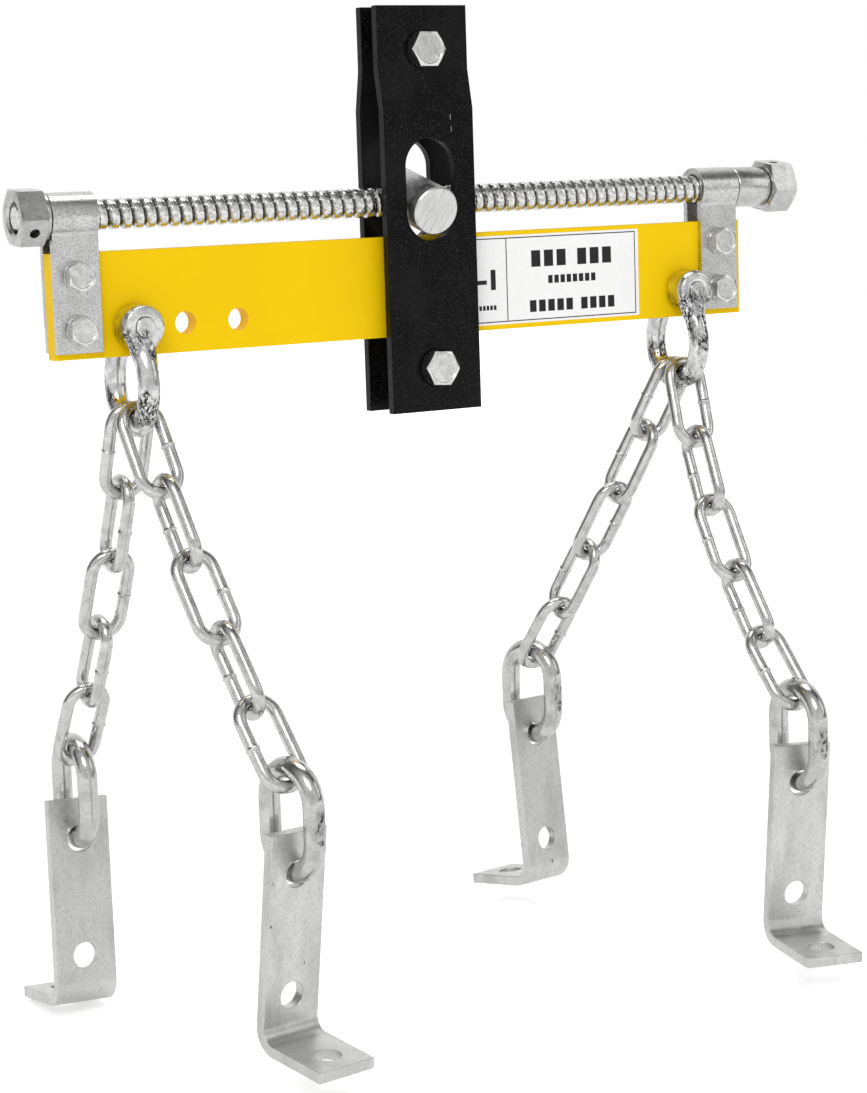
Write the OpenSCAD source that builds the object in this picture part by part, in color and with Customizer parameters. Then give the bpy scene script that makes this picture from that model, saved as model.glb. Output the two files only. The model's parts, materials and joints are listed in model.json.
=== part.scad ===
// Engine load leveller: a flat spreader bar that a screw moves through a swivelling trunnion in a
// two-plate hanger, with a bow shackle near each end and four chain legs ending in L-brackets.
// Millimetres. X runs along the bar, Y away from the labelled face, Z up.
// The origin is the middle of the lifting bolt at the top of the hanger.

/* [Hanger] */
// Width of each hanger plate
plate_w = 52; // [50:1:56]
// Thickness of each hanger plate
plate_t = 4.8; // [4:0.2:5]
// How far the plates reach above the lifting bolt
plate_top = 21.9; // [18:0.1:26]
// How far the plates reach below the lifting bolt
plate_bottom = 182.6; // [180:0.1:190]
// Gap between the plates at the lifting bolt
upper_gap = 11.6; // [11:0.2:13]
// Gap between the plates around the bar
lower_gap = 19.6; // [19:0.2:21]
// Width of the slot for the trunnion
slot_w = 28.4; // [28:0.2:29]
// Length of the slot for the trunnion
slot_l = 51.6; // [50:0.2:54]
// Depth of the lower bolt below the lifting bolt
lower_bolt_drop = 160.4; // [159:0.2:163]
// Length of the trunnion
trunnion_l = 41; // [38:0.5:44]
// Diameter of the trunnion
trunnion_d = 25; // [24.5:0.1:25]
// Roll of the trunnion about the screw, front end down
trunnion_roll = 15; // [0:1:15]

/* [Spreader bar] */
// Length of the bar
bar_l = 403; // [400:1:405]
// Height of the bar
bar_h = 50.8; // [50:0.1:51]
// Thickness of the bar
bar_t = 9.5; // [9:0.1:9.6]
// How far the middle of the bar stands from the hanger
bar_x = -1.8; // [-3:0.1:0]
// Depth of the bar's middle below the lifting bolt
bar_drop = 118.7; // [118:0.1:119]
// Place of the left shackle along the bar
left_shackle_x = -162.8; // [-164:0.1:-162]
// Place of the right shackle along the bar
right_shackle_x = 160.8; // [159:0.1:161]
// Places of the two spare holes along the bar
spare_hole_x = [-134.8, -106.2];

/* [Screw] */
// Crest diameter of the screw
screw_d = 15; // [14.5:0.1:15]
// Height of the screw's axis above the bar's middle
screw_rise = 42.9; // [42.5:0.1:43.2]
// Left and right ends of the screw
screw_ends = [-218.4, 233.4];
// Width across the flats of the end nut and the drive head
drive_af = 26; // [25:0.5:27]

/* [Chain] */
// Wire diameter of a chain link
wire = 6.4; // [6:0.1:6.6]
// Inside width of a chain link
link_gap = 13.3; // [13:0.1:14]
// Inside length of a chain link
link_l = 39; // [38:0.1:40]
// Wire diameter of the end link
end_wire = 10.5; // [10:0.1:10.8]
// Inside width of the end link
end_gap = 23; // [22:0.5:24]
// Inside length of the end link
end_l = 40; // [39:0.5:42]
// Free play where two links meet
play = 0.25; // [0.2:0.05:0.3]
// Free play where the end link meets the chain
end_play = 0.75; // [0.7:0.05:0.8]

/* [Bracket] */
// Width of the bracket
bracket_w = 33; // [31:1:36]
// Thickness of the bracket
bracket_t = 5.6; // [5:0.1:5.8]
// Height of the bracket
bracket_h = 107.8; // [105:0.1:112]
// Length of the bracket's foot
foot_l = 48.7; // [46:0.1:52]
// Diameter of the bracket's holes
bracket_hole = 13.5; // [13.4:0.1:14]

/* [Hidden] */
$fn = 64;

// Small overlap that lets a cut run past a face
eps = 1;

// Hanger: the joggle, the slot and the bolts
joggle_top = 9.8;
joggle_bottom = 29.7;
slot_top = 44.2;
hanger_hole = 10.2;
hanger_bolt_d = 10;
hanger_af = 17;
hanger_head = 5.5;
hanger_nut = 8;
hanger_washer_d = 19.4;
hanger_washer_t = 2;
spacer_d = 14;
fit_gap = 0.03;
run_gap = 0.06;

// Bar, straps and their fasteners
screw_z = screw_rise - bar_drop;
pin_z = -bar_drop - 11;
shackle_hole = 11.12;
strap_w = 23.5;
strap_t = 3.3;
loop_r = 8;
strap_foot = 22.3;
strap_x = [-191.6, 184.2];
strap_fillet = 3;
strap_bolt_z = [14.3, -11.3];
strap_bolt_d = 8;
strap_hole = 8.2;
strap_af = 13;
strap_head = 5.3;
strap_nut = 6.5;
strap_washer_d = 14.8;
strap_washer_t = 1.6;
label_x = [8, 132.8];
label_z = [-22.9, 23.3];
label_t = 0.2;

// Rotating group on the screw
end_nut_x = [-219.4, -206.1];
thrust_washer_x = [-205.9, -204.1];
thrust_washer_d = 24;
collar_x = [197, 218.4];
collar_d = 21.8;
drive_x = [218.6, 234];
end_nut_roll = 5;
drive_roll = 10;
roll_pin_d = 5;
roll_pin_l = 20;

// Shackles
bow_wire = 11;
bow_r = 20.3;
eye_d = 22.5;
eye_in = 6;
eye_out = 20;
eye_y = 13;
bow_drop = 28.7;
pin_d = 11;
pin_end_d = 9.6;

// Legs: side of the bar, shackle, spread of the middle link from vertical, its drift along the bar,
// the step in spread and in drift from link to link as the leg sags, and the side of each weld
FRONT = -1;
REAR = 1;
LEFT = left_shackle_x;
RIGHT = right_shackle_x;
front_left = [FRONT, LEFT, 28, -8.5, 1.6, -0.8, [1, 1, 1, 1, -1]];
rear_left = [REAR, LEFT, 20.2, 3.8, 2.8, 0, [-1, -1, 1, -1, 1]];
front_right = [FRONT, RIGHT, 27.6, -1.8, 4.2, -2.4, [1, 1, -1, 1, -1]];
rear_right = [REAR, RIGHT, 25.3, 14, 3, -2, [-1, 1, 1, 1, 1]];

// Brackets: turn about Z, lean of the upright, roll in its own plane, and the end link's own turn
front_left_turn = [191.4, -6.3, -1.2, 0];
rear_left_turn = [1, -7.3, 3, 0];
front_right_turn = [171.1, -2.8, -2.1, 9];
rear_right_turn = [13.5, -7.6, 1.5, 0];

// Chain geometry: where each link's top and bottom wires sit below the wire that carries it
link_r = (link_gap + wire) / 2;
link_span = link_l + wire;
bow_top = (bow_wire + wire) / 2 + play;
link_top = wire + play;
pitch = link_span - link_top;
end_r = (end_gap + end_wire) / 2;
end_span = end_l + end_wire;
end_top = (end_wire + wire) / 2 + end_play;
weld_d = wire + 0.9;
weld_l = 2.4;
end_weld_d = end_wire + 0.5;
end_weld_l = 5;

// Bracket geometry, measured from its upper hole
hole_drop = 0.3;
upper_hole = 21.1;
lower_hole = 25.8;
foot_hole = 15;
bend_in = 7;

zinc = "lightgray";
steel = "silver";
black = "#202020";
yellow = "#f5c800";

// Helpers

// A hexagon prism along Z with chamfered corners at the ends named in chamfers
module hexagon(af, h, low = false, high = false) {
    corner = af / cos(30);
    depth = (corner - af) / 2 * 0.5;
    intersection() {
        cylinder(d = corner, h = h, $fn = 6);
        union() {
            low_z = low ? depth : 0;
            high_z = high ? h - depth : h;
            translate([0, 0, low_z]) cylinder(d = corner + eps, h = high_z - low_z);
            if (low) cylinder(d1 = af * 0.97, d2 = corner + eps, h = depth);
            if (high) translate([0, 0, high_z]) cylinder(d1 = corner + eps, d2 = af * 0.97, h = depth);
        }
    }
}

// Stands its children's Z axis along +Y
module along_y() {
    rotate([-90, 0, 0]) children();
}

// Stands its children's Z axis along +X
module along_x() {
    rotate([0, 90, 0]) children();
}

// A flat washer lying from z = 0 up
module washer(d, hole, t) {
    difference() {
        cylinder(d = d, h = t);
        translate([0, 0, -eps]) cylinder(d = hole, h = t + 2 * eps);
    }
}

// A hexagon bolt along Y: its head's face is at head_y and its point at end_y
module bolt(d, af, head, head_y, end_y, turn) {
    translate([0, head_y, 0]) along_y() {
        rotate([0, 0, turn]) hexagon(af, head, low = true);
        translate([0, 0, head / 2]) cylinder(d = d, h = end_y - head_y - head / 2 - 1);
        translate([0, 0, end_y - head_y - 1]) cylinder(d1 = d, d2 = d - 2, h = 1);
    }
}

// A hexagon nut along Y from y up
module nut(d, af, h, y, turn) {
    translate([0, y, 0]) along_y() difference() {
        rotate([0, 0, turn]) hexagon(af, h, low = true, high = true);
        translate([0, 0, -eps]) cylinder(d = d + 2 * fit_gap, h = h + 2 * eps);
    }
}

// Half a torus in the XZ plane, above z = 0
module half_torus(r, d) {
    rotate([90, 0, 0]) rotate_extrude(angle = 180) translate([r, 0]) circle(d = d);
}

// An arc of wire in the YZ plane, from its centre's +Y side up
module wire_arc(r, d, angle) {
    rotate([90, 0, 90]) rotate_extrude(angle = angle) translate([r, 0]) circle(d = d);
}

// A chain link in the XZ plane whose top wire is centred top above the origin
module ring(r, span, d, top, side, bead_d, bead_l) {
    straight = span - 2 * r;
    translate([0, 0, top - span / 2]) {
        for (s = [-1, 1]) translate([s * r, 0, -straight / 2]) cylinder(d = d, h = straight);
        translate([0, 0, straight / 2]) half_torus(r, d);
        translate([0, 0, -straight / 2]) mirror([0, 0, 1]) half_torus(r, d);
        translate([side * r, 0, -bead_l / 2]) cylinder(d = bead_d, h = bead_l);
    }
}

// Hanger

// Outline of one plate across its thickness, on the +Y side
module plate_outline() {
    upper = upper_gap / 2;
    lower = lower_gap / 2;
    polygon([
        [lower, -plate_bottom], [lower + plate_t, -plate_bottom],
        [lower + plate_t, -joggle_bottom], [upper + plate_t, -joggle_top],
        [upper + plate_t, plate_top], [upper, plate_top],
        [upper, -joggle_top], [lower, -joggle_bottom]
    ]);
}

module rear_plate() {
    depth = lower_gap / 2 + plate_t + eps;
    color(black) difference() {
        rotate([90, 0, 90]) translate([0, 0, -plate_w / 2]) linear_extrude(plate_w) plate_outline();
        for (z = [0, -lower_bolt_drop])
            translate([0, 0, z]) along_y() cylinder(d = hanger_hole, h = depth);
        for (z = [slot_top + slot_w / 2, slot_top + slot_l - slot_w / 2])
            translate([0, 0, -z]) along_y() cylinder(d = slot_w, h = depth);
        translate([-slot_w / 2, 0, -slot_top - slot_l + slot_w / 2])
            cube([slot_w, depth, slot_l - slot_w]);
    }
}

module front_plate() {
    mirror([0, 1, 0]) rear_plate();
}

module lifting_bolt() {
    face = upper_gap / 2 + plate_t + hanger_washer_t;
    color(steel) bolt(hanger_bolt_d, hanger_af, hanger_head, -face - hanger_head,
                      face + hanger_nut + 2.5, 0);
}

module lower_bolt() {
    face = lower_gap / 2 + plate_t + hanger_washer_t;
    color(steel) translate([0, 0, -lower_bolt_drop])
        bolt(hanger_bolt_d, hanger_af, hanger_head, -face - hanger_head, face + hanger_nut + 2.5, 4);
}

module hanger_washers() {
    hole = hanger_bolt_d + 2 * fit_gap;
    color(zinc) for (at = [[upper_gap, 0], [lower_gap, -lower_bolt_drop]], side = [0, 1])
        translate([0, 0, at[1]]) mirror([0, side, 0]) translate([0, at[0] / 2 + plate_t, 0])
            along_y() washer(hanger_washer_d, hole, hanger_washer_t);
}

module hanger_nuts() {
    color(zinc) for (at = [[upper_gap, 0], [lower_gap, -lower_bolt_drop]])
        translate([0, 0, at[1]])
            nut(hanger_bolt_d, hanger_af, hanger_nut, at[0] / 2 + plate_t + hanger_washer_t, 10);
}

module spacer_tube() {
    l = lower_gap - 2 * fit_gap;
    color(steel) translate([0, -l / 2, -lower_bolt_drop])
        along_y() washer(spacer_d, hanger_bolt_d + 2 * fit_gap, l);
}

module trunnion() {
    chamfer = 0.8;
    bore_l = trunnion_d + 2 * eps;
    color(steel) translate([0, 0, screw_z]) difference() {
        rotate([trunnion_roll, 0, 0]) translate([0, -trunnion_l / 2, 0]) along_y() {
            cylinder(d1 = trunnion_d - 2 * chamfer, d2 = trunnion_d, h = chamfer);
            translate([0, 0, chamfer]) cylinder(d = trunnion_d, h = trunnion_l - 2 * chamfer);
            translate([0, 0, trunnion_l - chamfer])
                cylinder(d1 = trunnion_d, d2 = trunnion_d - 2 * chamfer, h = chamfer);
        }
        translate([-bore_l / 2, 0, 0]) along_x() cylinder(d = screw_d + 2 * run_gap, h = bore_l);
    }
}

// Spreader bar and what is bolted to it

module spreader_bar() {
    depth = bar_t + 2 * eps;
    color(yellow) difference() {
        translate([bar_x - bar_l / 2, -bar_t / 2, -bar_drop - bar_h / 2]) cube([bar_l, bar_t, bar_h]);
        for (x = concat(spare_hole_x, [left_shackle_x, right_shackle_x]))
            translate([x, -depth / 2, pin_z]) along_y() cylinder(d = shackle_hole, h = depth);
        for (x = strap_x, z = strap_bolt_z)
            translate([x, -depth / 2, z - bar_drop]) along_y() cylinder(d = strap_hole, h = depth);
    }
}

module label() {
    color("white") translate([label_x[0], -bar_t / 2 - label_t, label_z[0] - bar_drop])
        cube([label_x[1] - label_x[0], label_t, label_z[1] - label_z[0]]);
}

// Outline of a strap across the bar: a loop over the screw that closes onto the bar's two faces
module strap_outline() {
    outer = loop_r + strap_t;
    leg = bar_t / 2 + strap_t;
    neck = strap_fillet + outer;
    neck_y = leg + strap_fillet;
    neck_z = -sqrt(neck * neck - neck_y * neck_y);
    touch_y = neck_y * outer / neck;
    touch_z = neck_z * outer / neck;
    foot_z = -strap_foot - screw_rise;
    difference() {
        union() {
            circle(r = outer);
            translate([-leg, foot_z]) square([2 * leg, -foot_z - loop_r / 2]);
            for (s = [0, 1]) mirror([s, 0]) difference() {
                polygon([[0, neck_z], [leg, neck_z], [touch_y, touch_z], [0, touch_z]]);
                translate([neck_y, neck_z]) circle(r = strap_fillet);
            }
        }
        circle(r = loop_r);
        translate([-bar_t / 2, foot_z - eps]) square([bar_t, -foot_z + eps]);
    }
}

module strap(x) {
    depth = 2 * (loop_r + strap_t + eps);
    color(zinc) difference() {
        translate([x - strap_w / 2, 0, screw_z])
            rotate([90, 0, 90]) linear_extrude(strap_w) strap_outline();
        for (z = strap_bolt_z)
            translate([x, -depth / 2, z - bar_drop]) along_y() cylinder(d = strap_hole, h = depth);
    }
}

module left_strap() {
    strap(strap_x[0]);
}

module right_strap() {
    strap(strap_x[1]);
}

// Puts its children at each of the four strap bolts
module at_strap_bolts() {
    for (x = strap_x, z = strap_bolt_z) translate([x, 0, z - bar_drop]) children();
}

module strap_bolts() {
    face = bar_t / 2 + strap_t + strap_washer_t;
    color(steel) at_strap_bolts()
        bolt(strap_bolt_d, strap_af, strap_head, -face - strap_head, face + strap_nut + 2.5, 30);
}

module strap_washers() {
    face = bar_t / 2 + strap_t;
    color(zinc) at_strap_bolts() for (side = [0, 1]) mirror([0, side, 0])
        translate([0, face, 0])
            along_y() washer(strap_washer_d, strap_bolt_d + 2 * fit_gap, strap_washer_t);
}

module strap_nuts() {
    face = bar_t / 2 + strap_t + strap_washer_t;
    color(zinc) at_strap_bolts() nut(strap_bolt_d, strap_af, strap_nut, face, 22);
}

// The screw and what turns with it

// Cuts or fills the two cross holes of the roll pins
module pin_holes(d, l) {
    end_nut_mid = (end_nut_x[0] + end_nut_x[1]) / 2;
    drive_mid = (drive_x[0] + drive_x[1]) / 2;
    for (at = [[end_nut_mid, end_nut_roll + 120], [drive_mid, drive_roll]])
        translate([at[0], 0, screw_z]) rotate([at[1], 0, 0]) cylinder(d = d, h = l, center = true);
}

module screw() {
    l = screw_ends[1] - screw_ends[0];
    chamfer = 1.5;
    color(steel) difference() {
        translate([screw_ends[0], 0, screw_z]) along_x() {
            cylinder(d1 = screw_d - 2 * chamfer, d2 = screw_d, h = chamfer);
            translate([0, 0, chamfer]) cylinder(d = screw_d, h = l - 2 * chamfer);
            translate([0, 0, l - chamfer]) cylinder(d1 = screw_d, d2 = screw_d - 2 * chamfer, h = chamfer);
        }
        pin_holes(roll_pin_d + 2 * fit_gap, screw_d + 2 * eps);
    }
}

// A hexagon on the screw with a countersunk bore and a cross hole
module drive_hexagon(ends, roll) {
    l = ends[1] - ends[0];
    sink = 1.2;
    bore = screw_d + 2 * fit_gap;
    difference() {
        translate([ends[0], 0, screw_z]) rotate([roll, 0, 0]) along_x() difference() {
            rotate([0, 0, 30]) hexagon(drive_af, l, low = true, high = true);
            translate([0, 0, -eps]) cylinder(d = bore, h = l + 2 * eps);
            for (z = [0, l]) translate([0, 0, z]) mirror([0, 0, z == 0 ? 0 : 1])
                cylinder(d1 = bore + 2 * sink, d2 = bore, h = sink);
        }
        pin_holes(roll_pin_d + 2 * fit_gap, drive_af + 2 * eps);
    }
}

module end_nut() {
    color(zinc) drive_hexagon(end_nut_x, end_nut_roll);
}

module drive_head() {
    color(zinc) drive_hexagon(drive_x, drive_roll);
}

module thrust_washer() {
    l = thrust_washer_x[1] - thrust_washer_x[0];
    color(zinc) translate([thrust_washer_x[0], 0, screw_z])
        along_x() washer(thrust_washer_d, screw_d + 2 * fit_gap, l);
}

module collar_sleeve() {
    l = collar_x[1] - collar_x[0];
    chamfer = 0.8;
    color(zinc) translate([collar_x[0], 0, screw_z]) along_x() difference() {
        union() {
            cylinder(d1 = collar_d - 2 * chamfer, d2 = collar_d, h = chamfer);
            translate([0, 0, chamfer]) cylinder(d = collar_d, h = l - 2 * chamfer);
            translate([0, 0, l - chamfer]) cylinder(d1 = collar_d, d2 = collar_d - 2 * chamfer, h = chamfer);
        }
        translate([0, 0, -eps]) cylinder(d = screw_d + 2 * fit_gap, h = l + 2 * eps);
    }
}

module roll_pins() {
    color("dimgray") pin_holes(roll_pin_d, roll_pin_l);
}

// Shackles

// One side of the bow, on the +Y side: the eye, and the two arcs that carry its wire out to the bend
module bow_side() {
    out = bow_r - eye_y;
    sweep = 2 * atan(out / bow_drop);
    arc_r = bow_drop / 2 / sin(sweep);
    round = 3;
    translate([0, eye_in, 0]) along_y() {
        cylinder(d1 = eye_d - 2, d2 = eye_d, h = 1);
        translate([0, 0, 1]) cylinder(d = eye_d, h = eye_out - eye_in - round - 1);
        translate([0, 0, eye_out - eye_in - round]) cylinder(d1 = eye_d, d2 = eye_d - round, h = round);
    }
    translate([0, eye_y + arc_r, 0]) rotate([180, 0, 0]) wire_arc(arc_r, bow_wire, sweep);
    translate([0, bow_r - arc_r, -bow_drop]) wire_arc(arc_r, bow_wire, sweep);
}

module bow(x) {
    hole = pin_d + 2 * fit_gap;
    color(steel) translate([x, 0, pin_z]) difference() {
        union() {
            bow_side();
            mirror([0, 1, 0]) bow_side();
            translate([0, 0, -bow_drop]) mirror([0, 0, 1]) rotate([0, 0, 90]) half_torus(bow_r, bow_wire);
        }
        translate([0, -eye_out + 6, 0]) along_y() cylinder(d = hole, h = 2 * eye_out - 5);
        translate([0, -eye_out - eps, 0]) along_y() cylinder(d = pin_end_d + 2 * fit_gap, h = 9);
    }
}

// A shackle's pin, with its reduced end in the front eye, and a collar and a drilled tab for
// turning it behind the rear eye
module shackle_pin(x) {
    shoulder = eye_out - 6.2;
    tip = eye_out + 0.6;
    collar_y = eye_out + 0.2;
    collar = 3.5;
    tab_d = 15;
    tab_t = 5;
    tab_hole = 6;
    color(steel) translate([x, 0, pin_z]) difference() {
        union() {
            translate([0, -tip, 0]) along_y() cylinder(d = pin_end_d, h = tip - shoulder + eps);
            translate([0, -shoulder, 0]) along_y() cylinder(d = pin_d, h = shoulder + eye_out + eps);
            translate([0, collar_y, 0]) along_y() cylinder(d = eye_d - 5, h = collar);
            translate([-tab_t / 2, collar_y + collar + tab_d / 2 - eps, 0])
                along_x() cylinder(d = tab_d, h = tab_t);
        }
        translate([-tab_t, collar_y + collar + tab_d / 2, 0])
            along_x() cylinder(d = tab_hole, h = 2 * tab_t);
    }
}

module left_bow() {
    bow(left_shackle_x);
}

module right_bow() {
    bow(right_shackle_x);
}

module left_pin() {
    shackle_pin(left_shackle_x);
}

module right_pin() {
    shackle_pin(right_shackle_x);
}

// Chain legs

// How far link n of a leg leans about X, and how far it then drifts along the bar
function lean_at(leg, n) = leg[0] * (leg[2] + leg[4] * (n - 3));
function drift_at(leg, n) = leg[3] + leg[5] * (n - 3);

// A point that is l below the origin in link n's own frame
function below(leg, n, l) =
    let (a = lean_at(leg, n), b = drift_at(leg, n))
    [-l * sin(b), l * cos(b) * sin(a), -l * cos(b) * cos(a)];

// The point that link n hangs from: the bottom of the bow, or the bottom of the link above.
// Link 6 is the end link.
function hang_point(leg, n) =
    n == 1 ? [leg[1], bow_r * sin(lean_at(leg, 1)), pin_z - bow_drop - bow_r * cos(lean_at(leg, 1))]
    : hang_point(leg, n - 1) + below(leg, n - 1, n == 2 ? link_span - bow_top : pitch);

// Link n of a leg: odd links lie along the bar, even links are a quarter turn round
module chain_link(leg, n) {
    top = n == 1 ? bow_top : link_top;
    color(zinc) translate(hang_point(leg, n)) rotate([lean_at(leg, n), 0, 0])
        rotate([0, drift_at(leg, n), 0]) rotate([0, 0, n % 2 == 1 ? 0 : 90])
            ring(link_r, link_span, wire, top, leg[6][n - 1], weld_d, weld_l);
}

module end_link(leg, turn) {
    color(zinc) translate(hang_point(leg, 6)) rotate([0, 0, turn[0] + 90 + turn[3]])
        ring(end_r, end_span, end_wire, end_top, -1, end_weld_d, end_weld_l);
}

// Outline of a bracket across its width, measured from its upper hole
module bracket_outline() {
    bend_out = bend_in + bracket_t;
    low = upper_hole - bracket_h;
    translate([-bracket_t / 2, low]) {
        translate([0, bend_out]) square([bracket_t, bracket_h - bend_out]);
        translate([bend_out, 0]) square([foot_l - bend_out, bracket_t]);
        intersection() {
            translate([bend_out, bend_out]) difference() {
                circle(r = bend_out);
                circle(r = bend_in);
            }
            square(bend_out);
        }
    }
}

module bracket(leg, turn) {
    low = upper_hole - bracket_h;
    depth = bracket_t + 2 * eps;
    at = hang_point(leg, 6) + [0, 0, end_top - end_span - hole_drop];
    color(zinc) translate(at) rotate([0, 0, turn[0]]) rotate([turn[1], 0, 0]) rotate([0, turn[2], 0])
        difference() {
            translate([-bracket_w / 2, 0, 0])
                rotate([90, 0, 90]) linear_extrude(bracket_w) bracket_outline();
            for (z = [0, low + lower_hole])
                translate([0, -depth / 2, z]) along_y() cylinder(d = bracket_hole, h = depth);
            translate([0, foot_l - bracket_t / 2 - foot_hole, low - eps])
                cylinder(d = bracket_hole, h = depth);
        }
}

front_plate();
rear_plate();
lifting_bolt();
lower_bolt();
hanger_washers();
hanger_nuts();
spacer_tube();
trunnion();
spreader_bar();
label();
left_strap();
right_strap();
strap_bolts();
strap_washers();
strap_nuts();
screw();
end_nut();
thrust_washer();
collar_sleeve();
drive_head();
roll_pins();
left_bow();
left_pin();
right_bow();
right_pin();
chain_link(front_left, 1);  // front_left_link_1
chain_link(front_left, 2);  // front_left_link_2
chain_link(front_left, 3);  // front_left_link_3
chain_link(front_left, 4);  // front_left_link_4
chain_link(front_left, 5);  // front_left_link_5
end_link(front_left, front_left_turn);  // front_left_end_link
bracket(front_left, front_left_turn);  // front_left_bracket
chain_link(rear_left, 1);  // rear_left_link_1
chain_link(rear_left, 2);  // rear_left_link_2
chain_link(rear_left, 3);  // rear_left_link_3
chain_link(rear_left, 4);  // rear_left_link_4
chain_link(rear_left, 5);  // rear_left_link_5
end_link(rear_left, rear_left_turn);  // rear_left_end_link
bracket(rear_left, rear_left_turn);  // rear_left_bracket
chain_link(front_right, 1);  // front_right_link_1
chain_link(front_right, 2);  // front_right_link_2
chain_link(front_right, 3);  // front_right_link_3
chain_link(front_right, 4);  // front_right_link_4
chain_link(front_right, 5);  // front_right_link_5
end_link(front_right, front_right_turn);  // front_right_end_link
bracket(front_right, front_right_turn);  // front_right_bracket
chain_link(rear_right, 1);  // rear_right_link_1
chain_link(rear_right, 2);  // rear_right_link_2
chain_link(rear_right, 3);  // rear_right_link_3
chain_link(rear_right, 4);  // rear_right_link_4
chain_link(rear_right, 5);  // rear_right_link_5
end_link(rear_right, rear_right_turn);  // rear_right_end_link
bracket(rear_right, rear_right_turn);  // rear_right_bracket
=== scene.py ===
"""Looks of the engine load leveller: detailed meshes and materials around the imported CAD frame.

Lengths are written in millimetres and turned into metres by MM, except that the studio's lights and
floor are in metres. X runs along the bar, Y from the labelled face to the rear and Z up.
"""
import json
from collections import namedtuple
from math import cos, exp, pi, radians, sin

import bmesh
import bpy
from mathutils import Matrix, Vector

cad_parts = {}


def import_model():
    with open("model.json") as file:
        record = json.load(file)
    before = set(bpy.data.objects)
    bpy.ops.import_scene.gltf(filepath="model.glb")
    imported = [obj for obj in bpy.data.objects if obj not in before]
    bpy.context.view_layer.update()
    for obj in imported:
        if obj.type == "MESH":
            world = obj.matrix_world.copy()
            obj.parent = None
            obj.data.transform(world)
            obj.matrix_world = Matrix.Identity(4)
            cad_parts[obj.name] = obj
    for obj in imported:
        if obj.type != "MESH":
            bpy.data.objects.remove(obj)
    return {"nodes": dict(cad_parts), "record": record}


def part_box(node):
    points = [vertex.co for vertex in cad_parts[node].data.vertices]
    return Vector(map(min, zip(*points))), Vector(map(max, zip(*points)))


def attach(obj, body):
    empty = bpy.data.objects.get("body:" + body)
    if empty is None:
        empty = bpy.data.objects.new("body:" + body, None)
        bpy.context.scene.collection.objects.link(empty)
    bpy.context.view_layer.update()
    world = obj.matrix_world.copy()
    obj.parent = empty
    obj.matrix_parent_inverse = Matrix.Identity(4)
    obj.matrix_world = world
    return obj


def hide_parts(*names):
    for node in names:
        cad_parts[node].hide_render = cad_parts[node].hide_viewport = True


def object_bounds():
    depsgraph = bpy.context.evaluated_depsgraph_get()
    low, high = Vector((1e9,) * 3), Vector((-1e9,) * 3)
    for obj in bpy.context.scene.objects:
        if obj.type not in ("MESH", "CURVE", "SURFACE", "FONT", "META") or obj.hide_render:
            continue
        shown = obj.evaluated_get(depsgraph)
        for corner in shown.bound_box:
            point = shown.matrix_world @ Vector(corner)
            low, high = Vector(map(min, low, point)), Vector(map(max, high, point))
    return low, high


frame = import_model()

MM = 0.001
TAU = 2 * pi
cad_low, cad_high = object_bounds()

NODES = frame["nodes"]
BODY_OF = {n: body for body, names in frame["record"]["behaviour"]["bodies"].items() for n in names}

# Where the camera stands, how it is turned, and its lens on a 36 mm high sensor
CAMERA_AT = (-665.4, -1166.6, -52.8)
CAMERA_YAW = 29.81
CAMERA_PITCH = 8.56
CAMERA_ROLL = -1.89
CAMERA_LENS = 85.64
SENSOR = 36

# Driving sizes that the frame's boxes don't give
WIRE = 6.4
LINK_GAP = 13.3
LINK_L = 39
END_WIRE = 10.5
END_GAP = 23
END_L = 40
BOW_WIRE = 11
BOW_R = 20.3
BOW_DROP = 28.7
EYE_Y = 13
PLAY = 0.25
END_PLAY = 0.75
SCREW_D = 15
SCREW_PITCH = 6.35
THREAD_DEPTH = 1.7

# Each leg: side of the bar, shackle place, spread and drift of its middle link in degrees, the step in
# each from link to link, and the side of each link's weld
Leg = namedtuple("Leg", "side shackle_x spread drift spread_step drift_step welds")
LEFT_X = -162.8
RIGHT_X = 160.8
PIN_Z = -129.7
LEGS = {
    "front_left": Leg(-1, LEFT_X, 28, -8.5, 1.6, -0.8, (1, 1, 1, 1, -1)),
    "rear_left": Leg(1, LEFT_X, 20.2, 3.8, 2.8, 0, (-1, -1, 1, -1, 1)),
    "front_right": Leg(-1, RIGHT_X, 27.6, -1.8, 4.2, -2.4, (1, 1, -1, 1, -1)),
    "rear_right": Leg(1, RIGHT_X, 25.3, 14, 3, -2, (-1, 1, 1, 1, 1)),
}
LAST_LINK = 5
MIDDLE_LINK = 3

# Each end link: the side of its weld, and its turn about the vertical in degrees
END_WELD_SIDE = {"front_left": 1, "rear_left": 1, "front_right": 1, "rear_right": -1}
END_LINK_TURN = {"front_left": 281.4, "rear_left": 91, "front_right": 270.1, "rear_right": 103.5}


# Node materials

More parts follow.
